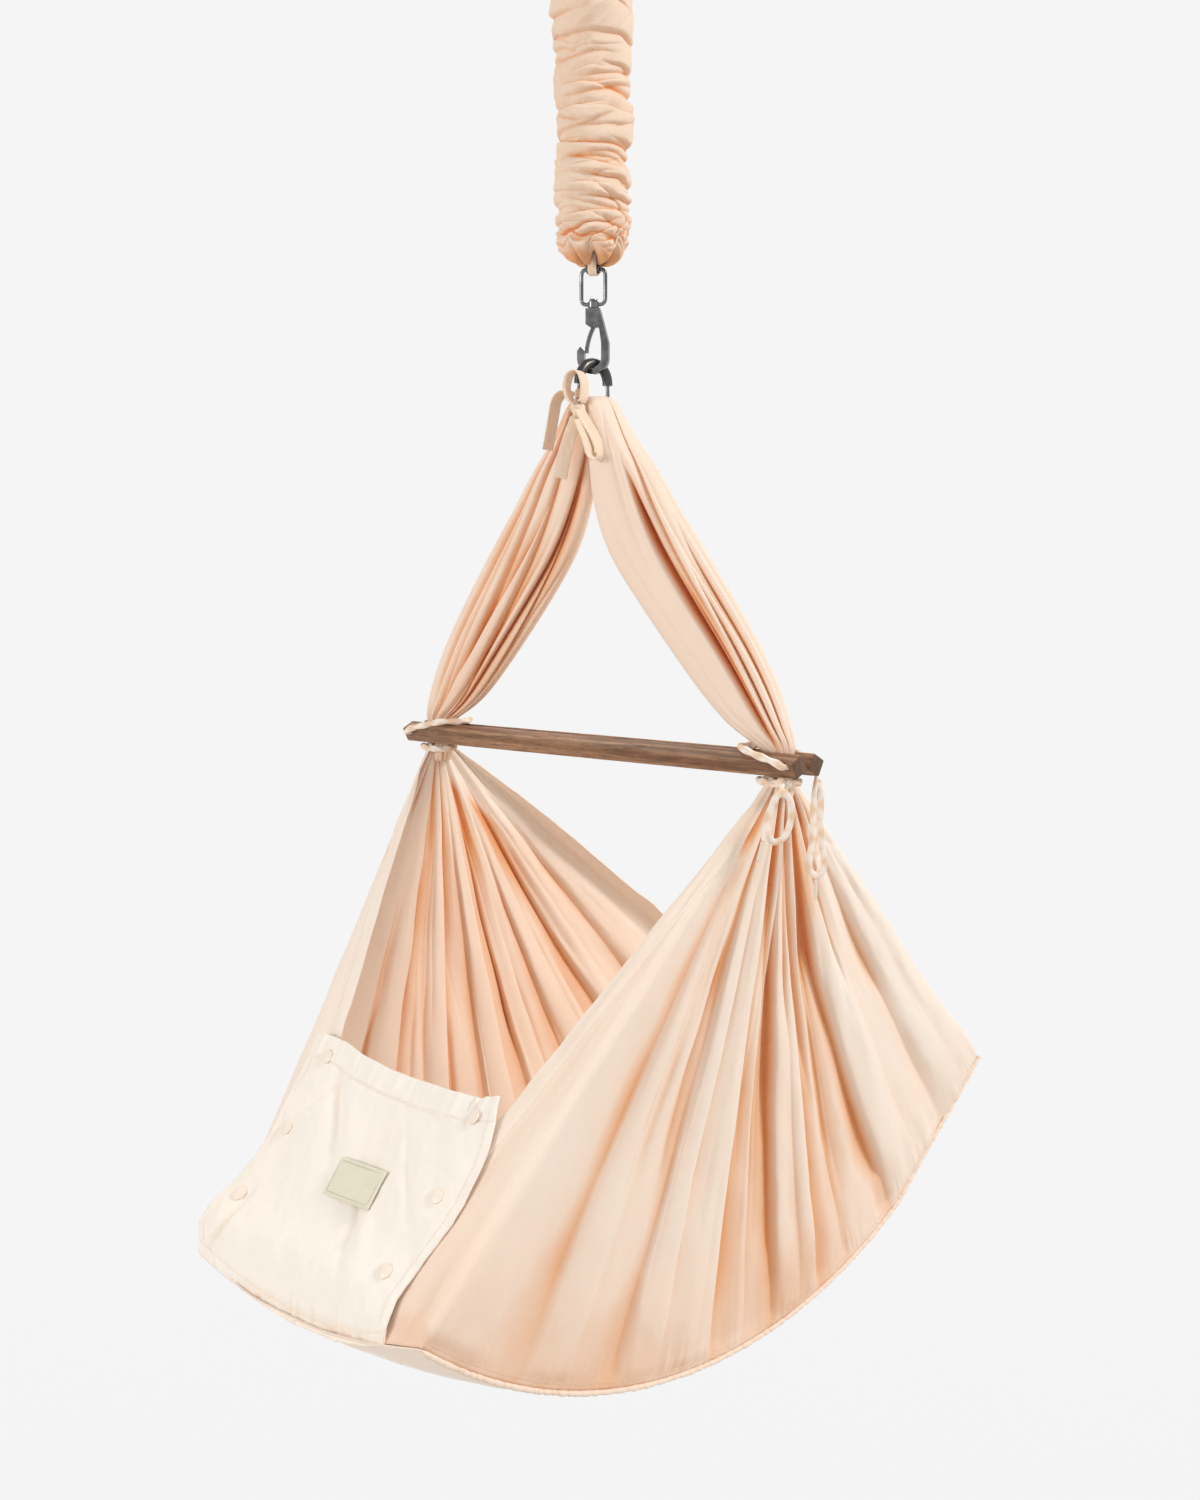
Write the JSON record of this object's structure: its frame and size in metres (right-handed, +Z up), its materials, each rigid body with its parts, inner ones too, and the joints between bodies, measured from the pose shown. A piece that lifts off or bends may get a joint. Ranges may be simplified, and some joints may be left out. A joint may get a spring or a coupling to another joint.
{
  "type": "hanging baby cradle",
  "caption": "Cloth baby cradle gathered onto two wooden bars, slung from a ring, a swivel snap hook, a sleeved spring and a ceiling fitting, with a foot flap held by six press studs.",
  "frame": {"origin": "centre of the ceiling fitting's flat top face, where it meets the ceiling", "axes": "+Z up, X along the wooden bars, -Y to the foot end with the flap, +Y to the head end"},
  "size_m": [0.503, 0.7843, 1.3228],
  "materials": {
    "steel": "bright zinc plated, lightly brushed",
    "dark_steel": "dark gunmetal, satin",
    "walnut": "oiled walnut, open grain",
    "peach_cotton": "plain woven cotton, matt",
    "cream_cotton": "plain woven cotton, matt",
    "cotton_cord": "braided cotton, matt",
    "clear_tip": "clear film, gloss",
    "snap_resin": "moulded resin, satin",
    "label_hide": "smooth pale hide, matt, with a sewn border",
    "foam": "fibre and foam core, matt"
  },
  "bodies": {
    "ceiling_fitting": {"ceiling_plate": "steel", "ceiling_eye": "steel"},
    "link": {"screw_link": "steel"},
    "link_nut": {"screw_link_nut": "steel"},
    "spring": {"extension_spring": "steel", "spring_sleeve": "peach_cotton"},
    "tape_loop": {"hang_tape": "cream_cotton"},
    "bail": {"swivel_bail": "steel", "bail_tube": "dark_steel"},
    "snap_hook": {"hook_body": "steel", "swivel_rivet": "steel", "gate_pin": "steel"},
    "gate": {"hook_gate": "steel"},
    "foot_flap": {"foot_flap": "cream_cotton", "label_patch": "label_hide", "snap_cap_left_1": "snap_resin", "snap_cap_left_2": "snap_resin", "snap_cap_left_3": "snap_resin", "snap_cap_right_1": "snap_resin", "snap_cap_right_2": "snap_resin", "snap_cap_right_3": "snap_resin"},
    "cradle": {"sling_ring": "steel", "ring_tube": "dark_steel", "left_leg": "peach_cotton", "right_leg": "peach_cotton", "near_bar": "walnut", "far_bar": "walnut", "left_lashing": "cotton_cord", "right_lashing": "cotton_cord", "left_binding": "cotton_cord", "right_binding": "cotton_cord", "tie_knot": "cotton_cord", "right_tie_front": "cotton_cord", "aglet_front": "clear_tip", "right_tie_back": "cotton_cord", "aglet_back": "clear_tip", "tie_wrap": "peach_cotton", "bow_knot": "peach_cotton", "bow_loop_up": "peach_cotton", "bow_loop_side": "peach_cotton", "bow_tail_left": "peach_cotton", "bow_tail_front": "peach_cotton", "left_wall": "peach_cotton", "right_wall": "peach_cotton", "bottom_panel": "peach_cotton", "head_panel": "peach_cotton", "mattress_core": "foam", "mattress_cover": "cream_cotton", "snap_stud_left_1": "snap_resin", "snap_stud_left_2": "snap_resin", "snap_stud_left_3": "snap_resin", "snap_stud_right_1": "snap_resin", "snap_stud_right_2": "snap_resin", "snap_stud_right_3": "snap_resin"}
  },
  "joints": [
    {"name": "swing_side", "type": "hinge", "parent": "ceiling_fitting", "child": "link", "pos_m": [0, 0, -0.0357], "axis": [0, 1, 0], "range_deg": [-25, 25]},
    {"name": "nut_thread", "type": "slide", "parent": "link", "child": "link_nut", "axis": [0, 0, -1], "range_m": [0, 0.01]},
    {"name": "swing_fore", "type": "hinge", "parent": "link", "child": "spring", "pos_m": [0, 0, -0.0799], "axis": [1, 0, 0], "range_deg": [-25, 25]},
    {"name": "bounce", "type": "slide", "parent": "spring", "child": "tape_loop", "axis": [0, 0, -1], "range_m": [0, 0.12], "stiffness_N_per_m": 900, "springref_m": -0.04, "deforming": ["extension_spring", "spring_sleeve"]},
    {"name": "bail_tilt", "type": "hinge", "parent": "tape_loop", "child": "bail", "pos_m": [0, 0, -0.3329], "axis": [0.866, 0.5, 0], "range_deg": [-30, 30]},
    {"name": "swivel_spin", "type": "hinge", "parent": "bail", "child": "snap_hook", "pos_m": [0, 0, -0.3639], "axis": [0, 0, 1], "continuous": true},
    {"name": "gate_open", "type": "hinge", "parent": "snap_hook", "child": "gate", "pos_m": [0.00141, 0.00081, -0.3812], "axis": [-0.5, 0.866, 0], "range_deg": [-18, 0], "stiffness_Nm_per_rad": 0.02, "springref_deg": 20.05},
    {"name": "ring_swing", "type": "hinge", "parent": "snap_hook", "child": "cradle", "pos_m": [0, 0, -0.4155], "axis": [0, 1, 0], "range_deg": [-20, 20]},
    {"name": "flap_open", "type": "hinge", "parent": "cradle", "child": "foot_flap", "pos_m": [0, -0.34667, -1.20115], "axis": [1, 0, 0], "range_deg": [0, 110]}
  ]
}
